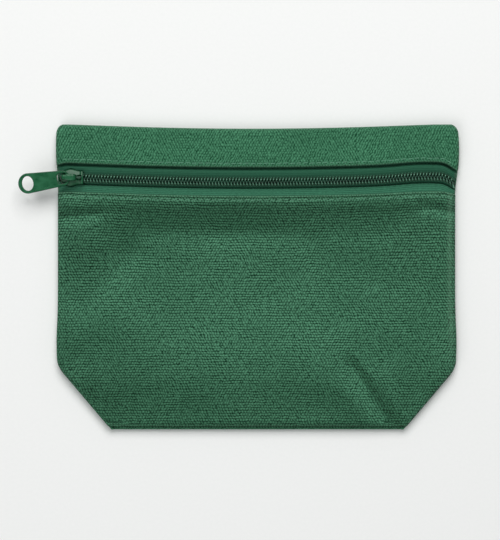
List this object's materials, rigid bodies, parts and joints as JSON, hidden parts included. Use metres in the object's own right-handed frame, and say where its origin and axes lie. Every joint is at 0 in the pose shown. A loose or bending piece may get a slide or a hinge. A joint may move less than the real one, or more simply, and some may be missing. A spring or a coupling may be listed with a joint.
{
  "type": "cash deposit bag",
  "caption": "Flat zippered canvas bag with a folded base and clipped lower corners, opened by a slider with a drop-shaped pull, for carrying cash and deposit slips.",
  "frame": {"origin": "centre of the back's flat outer face, on the surface that the bag lies on", "axes": "+X along the zipper, away from the closed slider; +Y to the top fold; +Z out of the front"},
  "size_m": [0.2184, 0.152, 0.0138],
  "materials": {
    "canvas": "plain-weave cotton canvas, matt",
    "inner_canvas": "the same canvas inside, matt",
    "zipper_tape": "woven polyester tape",
    "zipper_coil": "dark green nylon monofilament",
    "coil_thread": "polyester chain stitch",
    "sewing_thread": "spun polyester thread",
    "enamelled_metal": "baked green enamel, satin",
    "spring_steel": "thin green lacquer on steel"
  },
  "bodies": {
    "root": {"back_panel": "canvas", "base_gusset": "inner_canvas", "corner_gusset_left": "inner_canvas", "corner_gusset_right": "inner_canvas", "seam_allowance_left": "inner_canvas", "seam_allowance_right": "inner_canvas", "side_overlock_left": "sewing_thread", "side_overlock_right": "sewing_thread", "zipper_tape_upper": "zipper_tape", "zipper_coil_upper": "zipper_coil", "filler_cord_upper": "sewing_thread", "coil_thread_upper": "coil_thread", "topstitch_upper": "sewing_thread"},
    "front": {"front_panel": "canvas", "zipper_tape_lower": "zipper_tape", "zipper_coil_lower": "zipper_coil", "filler_cord_lower": "sewing_thread", "coil_thread_lower": "coil_thread", "topstitch_lower": "sewing_thread"},
    "slider": {"slider_body": "enamelled_metal", "slider_cap": "enamelled_metal"},
    "pawl": {"lock_pawl": "spring_steel"},
    "pull": {"pull_tab": "enamelled_metal"}
  },
  "joints": [
    {"name": "slider_slide", "type": "slide", "parent": "root", "child": "slider", "axis": [1, 0, 0], "range_m": [0, 0.1836], "deforming": ["zipper_tape_upper", "zipper_coil_upper", "filler_cord_upper", "coil_thread_upper"]},
    {"name": "mouth_open", "type": "hinge", "parent": "root", "child": "front", "pos_m": [0, -0.076, 0.00385], "axis": [1, 0, 0], "range_deg": [0, 13.5], "deforming": ["zipper_tape_lower", "zipper_coil_lower", "filler_cord_lower", "coil_thread_lower"]},
    {"name": "pull_flip", "type": "hinge", "parent": "slider", "child": "pull", "pos_m": [-0.0938, 0.0493, 0.01094], "axis": [0, 1, 0], "range_deg": [0, 150]},
    {"name": "pawl_lift", "type": "hinge", "parent": "slider", "child": "pawl", "pos_m": [-0.0963, 0.0493, 0.01208], "axis": [0, -1, 0], "range_deg": [0, 4], "stiffness_Nm_per_rad": 0.0005, "springref_deg": -2.86}
  ],
  "couplings": [
    {"joint": "mouth_open", "follows": "slider_slide", "rad_per_m": 1.25}
  ]
}
